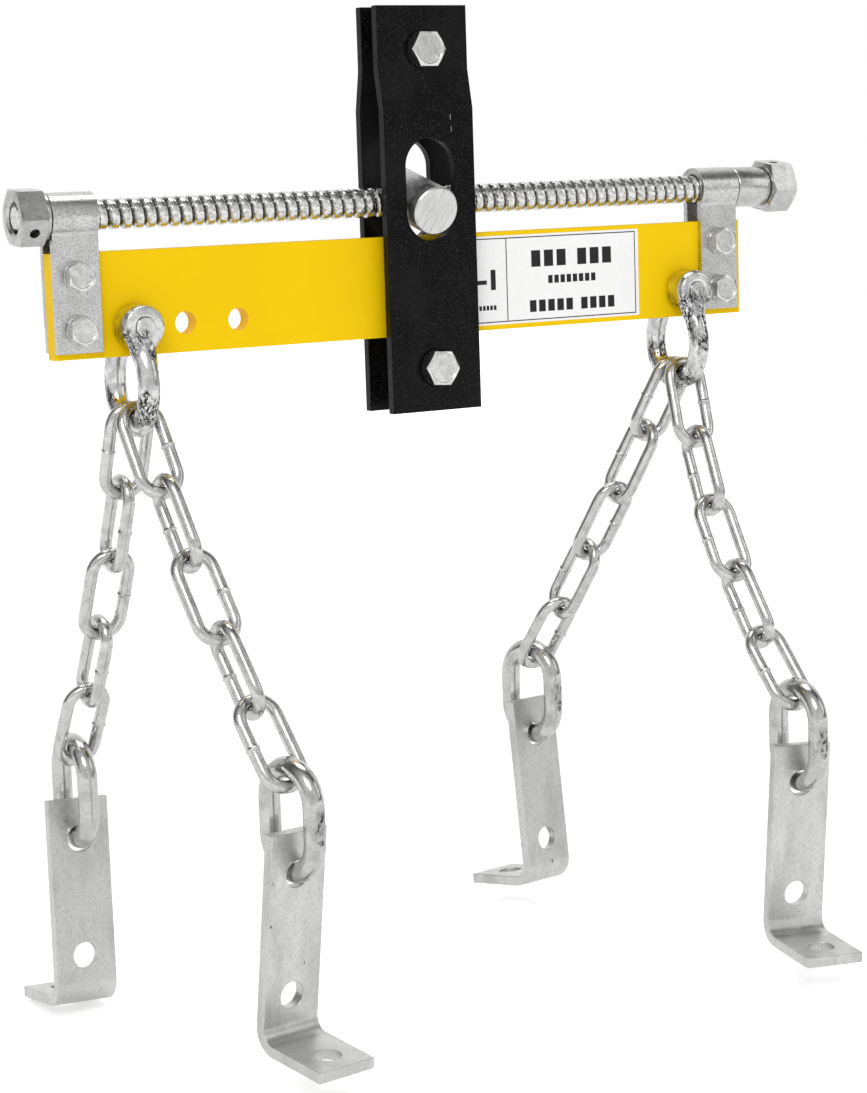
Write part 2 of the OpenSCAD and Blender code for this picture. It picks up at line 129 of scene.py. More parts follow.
class Shader:
    """A material's node tree with short ways to add what the finishes share."""

    def __init__(self, name):
        self.material = bpy.data.materials.new(name)
        self.material.use_nodes = True
        self.tree = self.material.node_tree
        self.bsdf = self.tree.nodes["Principled BSDF"]
        self.coords = self.tree.nodes.new("ShaderNodeTexCoord")
        self.height = None

    def add(self, kind, **values):
        node = self.tree.nodes.new(kind)
        for key, value in values.items():
            setattr(node, key, value)
        return node

    def link(self, source, target):
        self.tree.links.new(source, target)

    def set(self, **values):
        for key, value in values.items():
            self.bsdf.inputs[key.replace("_", " ")].default_value = value

    def point(self, stretch=(1, 1, 1), turn=(0, 0, 0)):
        """The object's own coordinates, stretched and turned."""
        node = self.add("ShaderNodeMapping", vector_type="TEXTURE")
        node.inputs["Scale"].default_value = [1 / share for share in stretch]
        node.inputs["Rotation"].default_value = [radians(a) for a in turn]
        self.link(self.coords.outputs["Object"], node.inputs["Vector"])
        return node.outputs["Vector"]

    def noise(self, size, detail=3, rough=0.55, stretch=(1, 1, 1), turn=(0, 0, 0), warp=0):
        """Fractal noise whose largest cells are size millimetres across."""
        node = self.add("ShaderNodeTexNoise")
        node.inputs["Scale"].default_value = 1 / (size * MM)
        node.inputs["Detail"].default_value = detail
        node.inputs["Roughness"].default_value = rough
        node.inputs["Distortion"].default_value = warp
        self.link(self.point(stretch, turn), node.inputs["Vector"])
        return node.outputs["Fac"]

    def ramp(self, value, low, high, at_low, at_high):
        """Maps value from the span low..high to the span at_low..at_high."""
        node = self.add("ShaderNodeMapRange")
        for key, number in (("From Min", low), ("From Max", high), ("To Min", at_low), ("To Max", at_high)):
            node.inputs[key].default_value = number
        self.link(value, node.inputs["Value"])
        return node.outputs["Result"]

    def mix(self, share, first, second):
        """first where share is 0 and second where it is 1; each is a colour or a socket."""
        node = self.add("ShaderNodeMix", data_type="RGBA")
        self.link(share, node.inputs["Factor"])
        for key, colour in (("A", first), ("B", second)):
            socket = [s for s in node.inputs if s.name == key and s.type == "RGBA"][0]
            if isinstance(colour, tuple):
                socket.default_value = (*colour, 1)
            else:
                self.link(colour, socket)
        return [s for s in node.outputs if s.type == "RGBA"][0]

    def times(self, first, second):
        """The product of two sockets."""
        node = self.add("ShaderNodeMath", operation="MULTIPLY")
        self.link(first, node.inputs[0])
        self.link(second, node.inputs[1])
        return node.outputs["Value"]

    def bump(self, height, depth):
        """Adds relief of depth millimetres on top of what is there."""
        node = self.add("ShaderNodeBump")
        node.inputs["Strength"].default_value = 1
        node.inputs["Distance"].default_value = depth * MM
        self.link(height, node.inputs["Height"])
        if self.height:
            self.link(self.height, node.inputs["Normal"])
        self.height = node.outputs["Normal"]

    def done(self, colour, rough=None):
        self.link(colour, self.bsdf.inputs["Base Color"])
        if rough:
            self.link(rough, self.bsdf.inputs["Roughness"])
        if self.height:
            self.link(self.height, self.bsdf.inputs["Normal"])
        return self.material


def grey(value):
    """A colour that is a hair warmer than neutral."""
    return (value, value, value * 0.985)


def zinc(name, light, dark, rough, patch, patch_share, grain, grain_share, speck_share, relief,
         stretch=(1, 1, 1)):
    """Zinc plate between two greys, light and dark: darker patches patch mm wide, a salt-and-pepper
    grain of cells grain mm wide, a few dark specks, relief mm deep, and burnt marks where the mesh says
    that it was welded. Each share is how strongly that feature shows."""
    s = Shader(name)
    s.set(Metallic=1.0)
    light, dark = grey(light), grey(dark)
    patches = s.ramp(s.noise(patch, 4, 0.6, stretch, warp=0.3), 0.42, 0.68, 0, patch_share)
    colour = s.mix(patches, light, dark)
    fine = s.noise(grain, 3, 0.75, stretch)
    colour = s.mix(s.ramp(fine, 0.45, 0.72, 0, grain_share), colour, dark)
    specks = s.ramp(s.noise(2.6, 2, 0.55, stretch), 0.73, 0.76, 0, speck_share)
    colour = s.mix(specks, colour, tuple(c * 0.12 for c in dark))
    weld = s.add("ShaderNodeAttribute", attribute_name="weld")
    soot = s.ramp(s.noise(2, 3, 0.7, (1, 1, 0.5)), 0.5, 0.6, 0.25, 1)
    colour = s.mix(s.times(weld.outputs["Fac"], soot), colour, (0.05, 0.05, 0.05))
    s.bump(fine, relief)
    s.bump(s.noise(patch * 0.8, 2, 0.5, stretch), relief * 1.5)
    wear = s.noise(patch * 0.7, 3, 0.6, stretch)
    return s.done(colour, s.ramp(wear, 0.3, 0.7, rough * 0.8, rough * 1.25))


def forged_zinc():
    """Zinc over a forging: smooth and bright above the shackle's pin, and below it with patches where
    fine black marks crowd."""
    s = Shader("shackle_zinc")
    s.set(Metallic=1.0)
    colour = s.mix(s.ramp(s.noise(7, 3, 0.6), 0.35, 0.65, 0, 1), (0.86, 0.86, 0.85), (0.5, 0.5, 0.5))
    place = s.add("ShaderNodeSeparateXYZ")
    s.link(s.coords.outputs["Object"], place.inputs["Vector"])
    low_down = s.ramp(place.outputs["Z"], (PIN_Z + 3) * MM, (PIN_Z - 3) * MM, 0.1, 1)
    crowd = s.times(low_down, s.ramp(s.noise(8, 3, 0.6, (1, 1, 0.6)), 0.45, 0.58, 0.1, 1))
    fine = s.noise(1.1, 3, 0.75, (1, 1, 0.5))
    marks = s.times(crowd, s.ramp(fine, 0.44, 0.52, 0, 0.97))
    colour = s.mix(marks, colour, (0.008, 0.008, 0.009))
    s.bump(fine, 0.03)
    s.bump(s.noise(6, 2), 0.09)
    return s.done(colour, s.ramp(s.noise(4, 3), 0.3, 0.7, 0.12, 0.24))


def black_coat():
    """Black powder coat with orange peel, fine pale specks and faint clouds."""
    s = Shader("black_coat")
    s.set(Coat_Weight=0.05, Coat_Roughness=0.08, Specular_IOR_Level=0.1)
    specks = s.ramp(s.noise(0.8, 2, 0.8), 0.56, 0.74, 0, 1)
    colour = s.mix(specks, (0.0012, 0.0012, 0.0014), (0.05, 0.05, 0.052))
    clouds = s.ramp(s.noise(38, 3, 0.5), 0.48, 0.68, 0, 0.7)
    colour = s.mix(clouds, colour, (0.012, 0.012, 0.0125))
    s.bump(s.noise(1.3, 2, 0.5), 0.05)
    return s.done(colour, s.ramp(s.noise(2.2, 3), 0.3, 0.7, 0.24, 0.4))


def yellow_paint():
    """Smooth saturated yellow paint with a soft orange peel and slight tone changes."""
    s = Shader("yellow_paint")
    s.set(Specular_IOR_Level=0.08)
    clouds = s.ramp(s.noise(60, 3), 0.35, 0.7, 0, 1)
    colour = s.mix(clouds, (0.93, 0.61, 0.002), (0.88, 0.565, 0.002))
    pits = s.ramp(s.noise(2.4, 3, 0.75), 0.68, 0.78, 0, 0.4)
    colour = s.mix(pits, colour, (0.66, 0.40, 0.004))
    s.bump(s.noise(1.8, 2), 0.03)
    return s.done(colour, s.ramp(s.noise(7, 3), 0.3, 0.7, 0.36, 0.5))


def label_film():
    """White printed film with a soft sheen."""
    s = Shader("label_film")
    s.set(Specular_IOR_Level=0.35)
    fibres = s.ramp(s.noise(1.2, 3), 0.4, 0.75, 0, 1)
    colour = s.mix(fibres, (0.93, 0.93, 0.925), (0.88, 0.88, 0.875))
    s.bump(s.noise(9, 2), 0.02)
    return s.done(colour, s.ramp(s.noise(5, 2), 0.3, 0.7, 0.28, 0.38))


def label_ink():
    """Black print that lets a little of the film through."""
    s = Shader("label_ink")
    s.set(Specular_IOR_Level=0.3)
    colour = s.mix(s.ramp(s.noise(0.5, 2), 0.55, 0.8, 0, 1), (0.008, 0.008, 0.009), (0.04, 0.04, 0.042))
    return s.done(colour, s.ramp(s.noise(3, 2), 0.3, 0.7, 0.35, 0.5))


def brushed_steel():
    """Sawn and brushed steel: fine parallel lines across the face that lean over."""
    s = Shader("trunnion_steel")
    s.set(Metallic=1.0)
    lean = (0, 25, 0)
    lines = s.noise(0.7, 3, 0.7, (1, 0.1, 0.05), lean)
    colour = s.mix(s.ramp(lines, 0.38, 0.64, 0, 1), (0.74, 0.74, 0.73), (0.5, 0.5, 0.495))
    marks = s.ramp(s.noise(2.2, 3, 0.7, (1, 0.2, 0.05), lean), 0.64, 0.74, 0, 0.3)
    colour = s.mix(marks, colour, (0.2, 0.2, 0.2))
    s.bump(lines, 0.04)
    return s.done(colour, s.ramp(s.noise(3, 3), 0.3, 0.7, 0.3, 0.46))


def screw_steel():
    """Rolled thread: bright crests and roots darkened with painted shade, told apart by distance from the
    axis.
    """
    s = Shader("screw_steel")
    s.set(Metallic=1.0)
    away = s.add("ShaderNodeVectorMath", operation="MULTIPLY_ADD")
    away.inputs[1].default_value = (0, 1, 1)
    away.inputs[2].default_value = (0, 0, -screw_axis_z)
    s.link(s.coords.outputs["Object"], away.inputs[0])
    length = s.add("ShaderNodeVectorMath", operation="LENGTH")
    s.link(away.outputs["Vector"], length.inputs[0])
    crest = SCREW_D / 2 * MM
    depth = THREAD_DEPTH * MM
    below_crest = s.ramp(length.outputs["Value"], crest - depth, crest - 0.45 * depth, 1, 0)
    above_core = s.ramp(length.outputs["Value"], crest - 1.2 * depth, crest - 1.05 * depth, 0, 1)
    mottle = s.ramp(s.noise(1.5, 4, 0.7, (0.6, 1, 1)), 0.45, 0.7, 0, 1)
    colour = s.mix(mottle, (0.8, 0.8, 0.79), (0.3, 0.29, 0.27))
    # painted shade: the thread roots between the crests are darkened in the colour itself
    colour = s.mix(s.times(below_crest, above_core), colour, (0.07, 0.067, 0.06))
    s.bump(s.noise(0.8, 3), 0.05)
    return s.done(colour, s.ramp(s.noise(2, 3), 0.3, 0.7, 0.14, 0.3))


def dark_steel():
    """Blackened spring steel."""
    s = Shader("pin_steel")
    s.set(Metallic=0.6)
    colour = s.mix(s.ramp(s.noise(0.8, 3), 0.4, 0.7, 0, 1), (0.01, 0.01, 0.01), (0.05, 0.048, 0.045))
    s.bump(s.noise(0.6, 2), 0.03)
    return s.done(colour, s.ramp(s.noise(2, 2), 0.3, 0.7, 0.35, 0.55))


# Mesh helpers

SHARP = 32
SOFT_ANGLE = 30
LINK_SHARP = 80
JOIN_DISTANCE = 0.001 * MM


def ring_grid(bm, rings, closed=False):
    """Skins a list of rings of points, each with the same number of points. Unless the last ring joins
    the first, both ends are capped."""
    verts = [[bm.verts.new(p) for p in ring] for ring in rings]
    count = len(verts[0])
    last = len(verts) if closed else len(verts) - 1
    for i in range(last):
        here, there = verts[i], verts[(i + 1) % len(verts)]
        for j in range(count):
            k = (j + 1) % count
            bm.faces.new((here[j], here[k], there[k], there[j]))
    if not closed:
        bm.faces.new(verts[0][::-1])
        bm.faces.new(verts[-1])
    return verts


def lathe(bm, profile, place, sides=72):
    """Turns a profile of (radius, height) round Z, caps it and places it."""
    rings = []
    for r, z in profile:
        angles = [TAU * j / sides for j in range(sides)]
        rings.append([place @ Vector((r * cos(a), r * sin(a), z)) * MM for a in angles])
    ring_grid(bm, rings)


def hexagon(bm, af, h, place, low_chamfer, turn, bore=0, dish=0):
    """A hexagon along Z from 0 to h, af across its flats, with a conical chamfer at its high end and
    either one or a small broken edge at its low end. A bore goes right through. A dish sinks the high
    face by that much inside its rim."""
    sides = 72
    slope = 0.5
    face_r = af / 2 * 0.95
    edge = 0.25
    rim = 0.6
    dish_wall = 0.3
    dish_floor_ring = 0.1
    point_r = 0.02

    def corner(j):
        a = (TAU * j / sides) % (pi / 3) - pi / 6
        return af / 2 / cos(a)

    def ring(radius, height):
        points = []
        for j in range(sides):
            a = TAU * j / sides + radians(turn)
            r = radius(j)
            points.append(place @ Vector((r * cos(a), r * sin(a), height(r))) * MM)
        return points

    inner = bore / 2 if bore else point_r
    rings = [ring(lambda j: inner, lambda r: 0)]
    if low_chamfer:
        rings.append(ring(lambda j: face_r, lambda r: 0))
        rings.append(ring(corner, lambda r: (r - face_r) * slope))
    else:
        rings.append(ring(lambda j: corner(j) - edge, lambda r: 0))
        rings.append(ring(corner, lambda r: edge))
    rings.append(ring(corner, lambda r: h - (r - face_r) * slope))
    rings.append(ring(lambda j: face_r, lambda r: h))
    if dish:
        foot = face_r - rim - dish_wall
        rings.append(ring(lambda j: face_r - rim, lambda r: h))
        rings.append(ring(lambda j: foot, lambda r: h - dish))
        rings.append(ring(lambda j: foot - dish_floor_ring, lambda r: h - dish))
    rings.append(ring(lambda j: inner, lambda r: h - dish))
    ring_grid(bm, rings, closed=bool(bore))


def thread(bm, d, depth, pitch, start, end, place, sides, steps, chamfer, crest):
    """A right-hand rounded thread along Z from start to end, with a tapered lead at each end. Crest and
    root say where the flank starts and ends, as shares of the pitch from the crest's middle. The crest
    is crowned by a share of the depth."""
    root = 0.47
    crown = 0.12
    count = int((end - start) / pitch * steps)
    rings = []
    for i in range(count + 1):
        z = start + (end - start) * i / count
        inset = max(0, chamfer - min(z - start, end - z))
        ring = []
        for j in range(sides):
            a = TAU * j / sides
            phase = (z / pitch - a / TAU) % 1
            t = abs(phase - 0.5)
            dip = min(1, max(0, (t - crest) / (root - crest)))
            sink = depth * dip * dip * (3 - 2 * dip)
            if t < crest:
                sink += crown * depth * (t / crest) ** 2
            r = min(d / 2 - sink, d / 2 - inset)
            ring.append(place @ Vector((r * cos(a), r * sin(a), z)) * MM)
        rings.append(ring)
    ring_grid(bm, rings)


def racetrack(r, span, dense):
    """A link's centre line as (x, z, outward x, outward z, side, height). Side is -1 or 1 on the two
    straight sides, which have points at the heights in dense, and 0 on the bends."""
    half = (span - 2 * r) / 2
    steps = 14
    points = []
    for i in range(steps + 1):
        a = pi * i / steps
        points.append((r * cos(a), half + r * sin(a), cos(a), sin(a), 0, 0))
    for z in dense:
        points.append((-r, z, -1, 0, -1, z))
    for i in range(steps + 1):
        a = pi + pi * i / steps
        points.append((r * cos(a), -half + r * sin(a), cos(a), sin(a), 0, 0))
    for z in reversed(dense):
        points.append((r, z, 1, 0, 1, z))
    return points


def wire_link(bm, r, span, wire, place, weld_side, weld_rise, weld_w, flat=0, sides=22):
    """A closed link in the XZ plane about its own middle, with a raised weld on one side. With flat,
    the outside of the weld is ground down over that half length and marked as burnt."""
    grind = 0.9
    grind_fade = 0.8
    burn_fade = 4
    half = (span - 2 * r) / 2
    fine = [weld_w * k / 5 for k in range(12, -13, -1)]
    dense = [half * 0.85] + [z for z in fine if abs(z) < half * 0.8] + [-half * 0.85]
    rings = []
    burnt = []
    for x, z, nx, nz, side, mid in racetrack(r, span, dense):
        rise = 0
        ground = 0
        char = 0
        if side == weld_side:
            bead = exp(-(mid / (0.45 * weld_w)) ** 2)
            shoulder = exp(-(mid / (1.5 * weld_w)) ** 2)
            rise = weld_rise * (0.8 * bead + 0.2 * shoulder)
            ground = min(1, max(0, (flat - abs(mid)) / grind_fade)) if flat else 0
            char = min(1, max(0, (flat - abs(mid)) / burn_fade)) if flat else 0
        if ground:
            rise = 0
        ring = []
        for j in range(sides):
            a = TAU * j / sides
            reach = (wire / 2 + rise) * cos(a)
            reach = min(reach, wire / 2 - grind * ground)
            y = (wire / 2 + rise) * sin(a)
            ring.append(place @ Vector((x + nx * reach, y, z + nz * reach)) * MM)
            burnt.append(char if cos(a) > 0.85 else 0.4 * char if cos(a) > 0.6 else 0)
        rings.append(ring)
    weld = bm.verts.layers.float.new("weld")
    verts = [v for ring in ring_grid(bm, rings, closed=True) for v in ring]
    for v, value in zip(verts, burnt):
        v[weld] = value


def box_mesh(bm, low, high):
    """A closed box between two corners, in millimetres."""
    for v in bmesh.ops.create_cube(bm, size=1)["verts"]:
        v.co = Vector([(lo + (c + 0.5) * (hi - lo)) * MM for lo, hi, c in zip(low, high, v.co)])


def finish_mesh(name, bm, material, sharp=SHARP):
    """An object from the mesh, smooth-shaded except over edges sharper than sharp degrees."""
    bmesh.ops.recalc_face_normals(bm, faces=bm.faces)
    mesh = bpy.data.meshes.new(name)
    bm.to_mesh(mesh)
    bm.free()
    mesh.shade_smooth()
    mesh.set_sharp_from_angle(angle=radians(sharp))
    mesh.materials.append(material)
    made = bpy.data.objects.new(name, mesh)
    bpy.context.scene.collection.objects.link(made)
    return made


def settle(made, node, replaced=True):
    """Rides the piece on its node's body and stands for the node."""
    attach(made, BODY_OF[node])
    if replaced:
        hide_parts(node)


def soften(made, width, segments):
    """Rounds every edge sharper than SOFT_ANGLE, and keeps flat faces flat."""
    bevel = made.modifiers.new("edges", "BEVEL")
    bevel.width = width * MM
    bevel.segments = segments
    bevel.limit_method = "ANGLE"
    bevel.angle_limit = radians(SOFT_ANGLE)
    bevel.harden_normals = True


def cad_mesh(node):
    """The node's own shape with flat faces joined up."""
    bm = bmesh.new()
    bm.from_mesh(NODES[node].data)
    bmesh.ops.remove_doubles(bm, verts=bm.verts, dist=JOIN_DISTANCE)
    bmesh.ops.dissolve_limit(bm, angle_limit=radians(0.5), verts=bm.verts, edges=bm.edges)
    return bm


def detail(node, slot, bm, sharp=SHARP):
    """A detailed piece in the finish of its slot, in place of a node."""
    settle(finish_mesh(node + "_detail", bm, FINISH[slot], sharp), node)


def soft_copy(node, slot, width, segments=2):
    """The node's own shape with its edges rounded over width millimetres."""
    made = finish_mesh(node + "_detail", cad_mesh(node), FINISH[slot], SOFT_ANGLE)
    soften(made, width, segments)
    settle(made, node)


def islands(node):
    """Lowest and highest corner of each separate solid of a node, in millimetres."""
    bm = bmesh.new()
    bm.from_mesh(NODES[node].data)
    bmesh.ops.remove_doubles(bm, verts=bm.verts, dist=JOIN_DISTANCE)
    left = set(bm.verts)
    boxes = []
    while left:
        stack = [left.pop()]
        found = []
        while stack:
            v = stack.pop()
            found.append(v.co.copy())
            for e in v.link_edges:
                other = e.other_vert(v)
                if other in left:
                    left.discard(other)
                    stack.append(other)
        low = Vector([min(c[i] for c in found) for i in range(3)]) / MM
        high = Vector([max(c[i] for c in found) for i in range(3)]) / MM
        boxes.append((low, high))
    bm.free()
    return sorted(boxes, key=lambda b: (round(b[0].x), round(b[0].z), b[0].y))


def rotation(angle, axis):
    return Matrix.Rotation(radians(angle), 4, axis)


def along_y(x, y, z):
    """A frame at a point whose Z axis runs along +Y."""
    return Matrix.Translation((x, y, z)) @ rotation(-90, "X")


def along_x(x, y, z):
    """A frame at a point whose Z axis runs along +X."""
    return Matrix.Translation((x, y, z)) @ rotation(90, "Y")


screw_low, screw_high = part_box("screw")
screw_axis_z = (screw_low.z + screw_high.z) / 2

FINISH = {
    "black_coat": black_coat(),
    "yellow_paint": yellow_paint(),
    "label_film": label_film(),
    "trunnion_steel": brushed_steel(),
    "screw_steel": screw_steel(),
    "pin_steel": dark_steel(),
    "strap_zinc": zinc(
        "strap_zinc", light=0.68, dark=0.1, rough=0.25, patch=8, patch_share=0.2,
        grain=0.9, grain_share=0.7, speck_share=0.5, relief=0.06),
    "fastener_zinc": zinc(
        "fastener_zinc", light=0.78, dark=0.3, rough=0.2, patch=4, patch_share=0.4,
        grain=0.9, grain_share=0.4, speck_share=0.3, relief=0.03),
    "drive_zinc": zinc(
        "drive_zinc", light=0.62, dark=0.24, rough=0.22, patch=6, patch_share=0.4,
        grain=1.1, grain_share=0.5, speck_share=0.6, relief=0.05),
    "shackle_zinc": forged_zinc(),
    "bracket_zinc": zinc(
        "bracket_zinc", light=0.72, dark=0.32, rough=0.38, patch=14, patch_share=0.35,
        grain=0.8, grain_share=0.5, speck_share=0.9, relief=0.05, stretch=(1, 1, 0.4)),
    "end_link_zinc": zinc(
        "end_link_zinc", light=0.64, dark=0.2, rough=0.15, patch=9, patch_share=0.4,
        grain=1.0, grain_share=0.35, speck_share=0.5, relief=0.05),
    "chain_zinc": zinc(
        "chain_zinc", light=0.68, dark=0.2, rough=0.15, patch=6, patch_share=0.4,
        grain=0.9, grain_share=0.35, speck_share=0.5, relief=0.05),
}


# Hanger

def scratches():
    """Two short scratches through the coat, just below the bend of the front plate."""
    bm = bmesh.new()
    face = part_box("front_plate")[0].y / MM
    for z, x in ((-34, 12.7), (-40, 13)):
        box_mesh(bm, (x - 0.12, face - 0.02, z - 1.4), (x + 0.12, face + 0.1, z + 1.4))
    made = finish_mesh("coat_scratches", bm, FINISH["strap_zinc"])
    settle(made, "front_plate", replaced=False)


def hanger():
    for node in ("front_plate", "rear_plate"):
        soft_copy(node, "black_coat", 0.7, 3)
    soft_copy("hanger_washers", "black_coat", 0.35)
    soft_copy("spacer_tube", "fastener_zinc", 0.4)
    scratches()


def bolts(node, d, af, head, thread_l, pitch, turn):
    """Hexagon bolts whose heads face the front, with two raised dots on the head and a threaded end."""
    dot_angles = (45, 12)
    dot = [(0.45, 0.01), (0.75, 0.1), (0.75, 0.5)]
    bm = bmesh.new()
    for low, high in islands(node):
        place = along_y((low.x + high.x) / 2, low.y, (low.z + high.z) / 2)
        turned = place @ Matrix.Translation((0, 0, head)) @ rotation(180, "X")
        hexagon(bm, af, head, turned, low_chamfer=False, turn=-turn, dish=0.25)
        for a in dot_angles:
            lathe(bm, dot, place @ rotation(a, "Z") @ Matrix.Translation((af * 0.33, 0, 0)), sides=12)
        length = high.y - low.y
        start = length - thread_l
        lathe(bm, [(d / 2, head), (d / 2, start)], place)
        thread(bm, d, 0.55 * pitch, pitch, start, length, place, sides=40, steps=8, chamfer=0.8, crest=0.08)
    detail(node, "fastener_zinc", bm)


def nuts(node, d, af, turn):
    """Hexagon nuts chamfered at both faces, as deep as the node's solids."""
    bm = bmesh.new()
    for low, high in islands(node):
        place = along_y((low.x + high.x) / 2, low.y, (low.z + high.z) / 2)
        hexagon(bm, af, high.y - low.y, place, low_chamfer=True, turn=turn, bore=d + 0.1)
    detail(node, "fastener_zinc", bm)


def fasteners():
    bolts("lifting_bolt", d=10, af=17, head=5.5, thread_l=13, pitch=1.5, turn=0)
    bolts("lower_bolt", d=10, af=17, head=5.5, thread_l=13, pitch=1.5, turn=4)
    nuts("hanger_nuts", d=10, af=17, turn=10)
    bolts("strap_bolts", d=8, af=13, head=5.3, thread_l=11, pitch=1.25, turn=30)
    nuts("strap_nuts", d=8, af=13, turn=22)
    soft_copy("strap_washers", "strap_zinc", 0.3)


# Bar, label and straps

def label():
    """Printed film with a thin frame, a divider and plain bars in place of words."""
    soft_copy("label", "label_film", 0.05)
    low, high = [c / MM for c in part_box("label")]
    front = low.y
    inset = 1.2
    line = 0.55
    divider = 0.33
    bm = bmesh.new()

    def mark(x0, x1, z0, z1):
        box_mesh(bm, (x0, front - 0.03, z0), (x1, front + 0.05, z1))

    left, right = low.x + inset, high.x - 2
    bottom, top = low.z + inset, high.z - inset
    for z in (bottom, top - line):
        mark(left, right, z, z + line)
    split = left + (right - left) * divider
    for x in (left, split, right - line):
        mark(x, x + line, bottom, top)

    def words(centre, z, h, counts):
        """Rows of plain blocks in place of words: counts gives the blocks in each."""
        wide, gap, space = 0.66 * h, 0.26 * h, 0.85 * h
        total = sum(n * wide + (n - 1) * gap for n in counts) + space * (len(counts) - 1)
        x = centre - total / 2
        for n in counts:
            for _ in range(n):
                mark(x, x + wide, z, z + h)
                x += wide + gap
            x += space - gap

    middle = (split + right) / 2
    words(middle, top - 16, 8.6, (3, 3))
    words(middle, top - 25, 4.2, (8,))
    words(middle, bottom + 4.2, 6.2, (5, 4))
    mark(split - 25, split - 12, bottom + 20, bottom + 22.2)
    mark(split - 9.6, split - 6.6, bottom + 17, bottom + 27.5)
    words(split - 14, bottom + 6.6, 2.4, (7,))
    settle(finish_mesh("label_print", bm, label_ink()), "label", replaced=False)


def bar_and_straps():
    soft_copy("spreader_bar", "yellow_paint", 0.6, 3)
    for node in ("left_strap", "right_strap"):
        soft_copy(node, "strap_zinc", 0.5, 3)
    label()


# Screw and what turns with it

def screw_group():
    bm = bmesh.new()
    start, end = screw_low.x / MM, screw_high.x / MM
    z = screw_axis_z / MM
    thread(
        bm, SCREW_D, THREAD_DEPTH, SCREW_PITCH, start, end, along_x(0, 0, z),
        sides=48, steps=14, chamfer=2.4, crest=0.24)
    detail("screw", "screw_steel", bm)
    for node in ("end_nut", "drive_head"):
        soft_copy(node, "drive_zinc", 0.35)
    soft_copy("collar_sleeve", "drive_zinc", 0.4)
    soft_copy("thrust_washer", "drive_zinc", 0.4)
    soft_copy("roll_pins", "pin_steel", 0.5)
    soft_copy("trunnion", "trunnion_steel", 0.3)


# Shackles

def neck(bm, x, side):
    """Flesh that carries one eye down into the wire, along the upper part of the bow."""
    top = 6.8
    bottom = 21
    steps = 10
    sides = 32
    flare_x = 3.2
    flare_y = 0.8
    rings = []
    for i in range(steps + 1):
        share = i / steps
        drop = top + (bottom - top) * share
        t = drop / BOW_DROP
        bend = 2 * t * t if t < 0.5 else 1 - 2 * (1 - t) ** 2
        y = EYE_Y + (BOW_R - EYE_Y) * bend
        wide = BOW_WIRE / 2 + flare_x * (1 - share) ** 2
        deep = BOW_WIRE / 2 + flare_y * (1 - share)
        ring = []
        for j in range(sides):
            a = TAU * j / sides
            ring.append(Vector((x + wide * cos(a), side * y + deep * sin(a), PIN_Z - drop)) * MM)
        rings.append(ring)
    ring_grid(bm, rings)


def bow(node):
    """The forged bow: the CAD shape, remeshed fine and smoothed so that eyes flow into the wire."""
    bm = cad_mesh(node)
    low, high = [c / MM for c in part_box(node)]
    for side in (-1, 1):
        neck(bm, (low.x + high.x) / 2, side)
    made = finish_mesh(node + "_detail", bm, FINISH["shackle_zinc"], 60)
    remesh = made.modifiers.new("skin", "REMESH")
    remesh.mode = "VOXEL"
    remesh.voxel_size = 0.6 * MM
    remesh.use_smooth_shade = True
    smooth = made.modifiers.new("flow", "SMOOTH")
    smooth.factor = 0.5
    smooth.iterations = 5
    settle(made, node)


def shackles():
    for side in ("left", "right"):
        bow(side + "_bow")
        soft_copy(side + "_pin", "shackle_zinc", 0.6, 3)


# Chain legs

LINK_R = (LINK_GAP + WIRE) / 2
LINK_SPAN = LINK_L + WIRE
BOW_TOP = (BOW_WIRE + WIRE) / 2 + PLAY
LINK_TOP = WIRE + PLAY
END_R = (END_GAP + END_WIRE) / 2
END_SPAN = END_L + END_WIRE
END_TOP = (END_WIRE + WIRE) / 2 + END_PLAY


def lean_at(leg, n):
    """How far link n of a leg leans away from the bar, in degrees."""
    return leg.side * (leg.spread + leg.spread_step * (n - MIDDLE_LINK))


def tilt(leg, n):
    drift = leg.drift + leg.drift_step * (n - MIDDLE_LINK)
    return rotation(lean_at(leg, n), "X") @ rotation(drift, "Y")


def hang_point(leg, n):
    """Where link n hangs from; the one after the last link is the end link."""
    if n == 1:
        a = radians(lean_at(leg, 1))
        return Vector((leg.shackle_x, BOW_R * sin(a), PIN_Z - BOW_DROP - BOW_R * cos(a)))
    drop = LINK_SPAN - (BOW_TOP if n == 2 else LINK_TOP)
    return hang_point(leg, n - 1) + tilt(leg, n - 1) @ Vector((0, 0, -drop))


def build_leg(name):
    """Five links, each a quarter turn from the one above, then the end link and the bracket."""
    leg = LEGS[name]
    for n in range(1, LAST_LINK + 1):
        top = BOW_TOP if n == 1 else LINK_TOP
        quarter = rotation(0 if n % 2 else 90, "Z")
        place = Matrix.Translation(hang_point(leg, n)) @ tilt(leg, n) @ quarter
        place = place @ Matrix.Translation((0, 0, top - LINK_SPAN / 2))
        bm = bmesh.new()
        wire_link(bm, LINK_R, LINK_SPAN, WIRE, place, leg.welds[n - 1], weld_rise=0.6, weld_w=1.2)
        detail(f"{name}_link_{n}", "chain_zinc", bm, LINK_SHARP)
    place = Matrix.Translation(hang_point(leg, LAST_LINK + 1)) @ rotation(END_LINK_TURN[name], "Z")
    place = place @ Matrix.Translation((0, 0, END_TOP - END_SPAN / 2))
    bm = bmesh.new()
    wire_link(
        bm, END_R, END_SPAN, END_WIRE, place, END_WELD_SIDE[name],
        weld_rise=0.25, weld_w=2.6, flat=8.5, sides=30)
    detail(name + "_end_link", "end_link_zinc", bm, LINK_SHARP)
    soft_copy(name + "_bracket", "bracket_zinc", 0.6, 3)


# Studio

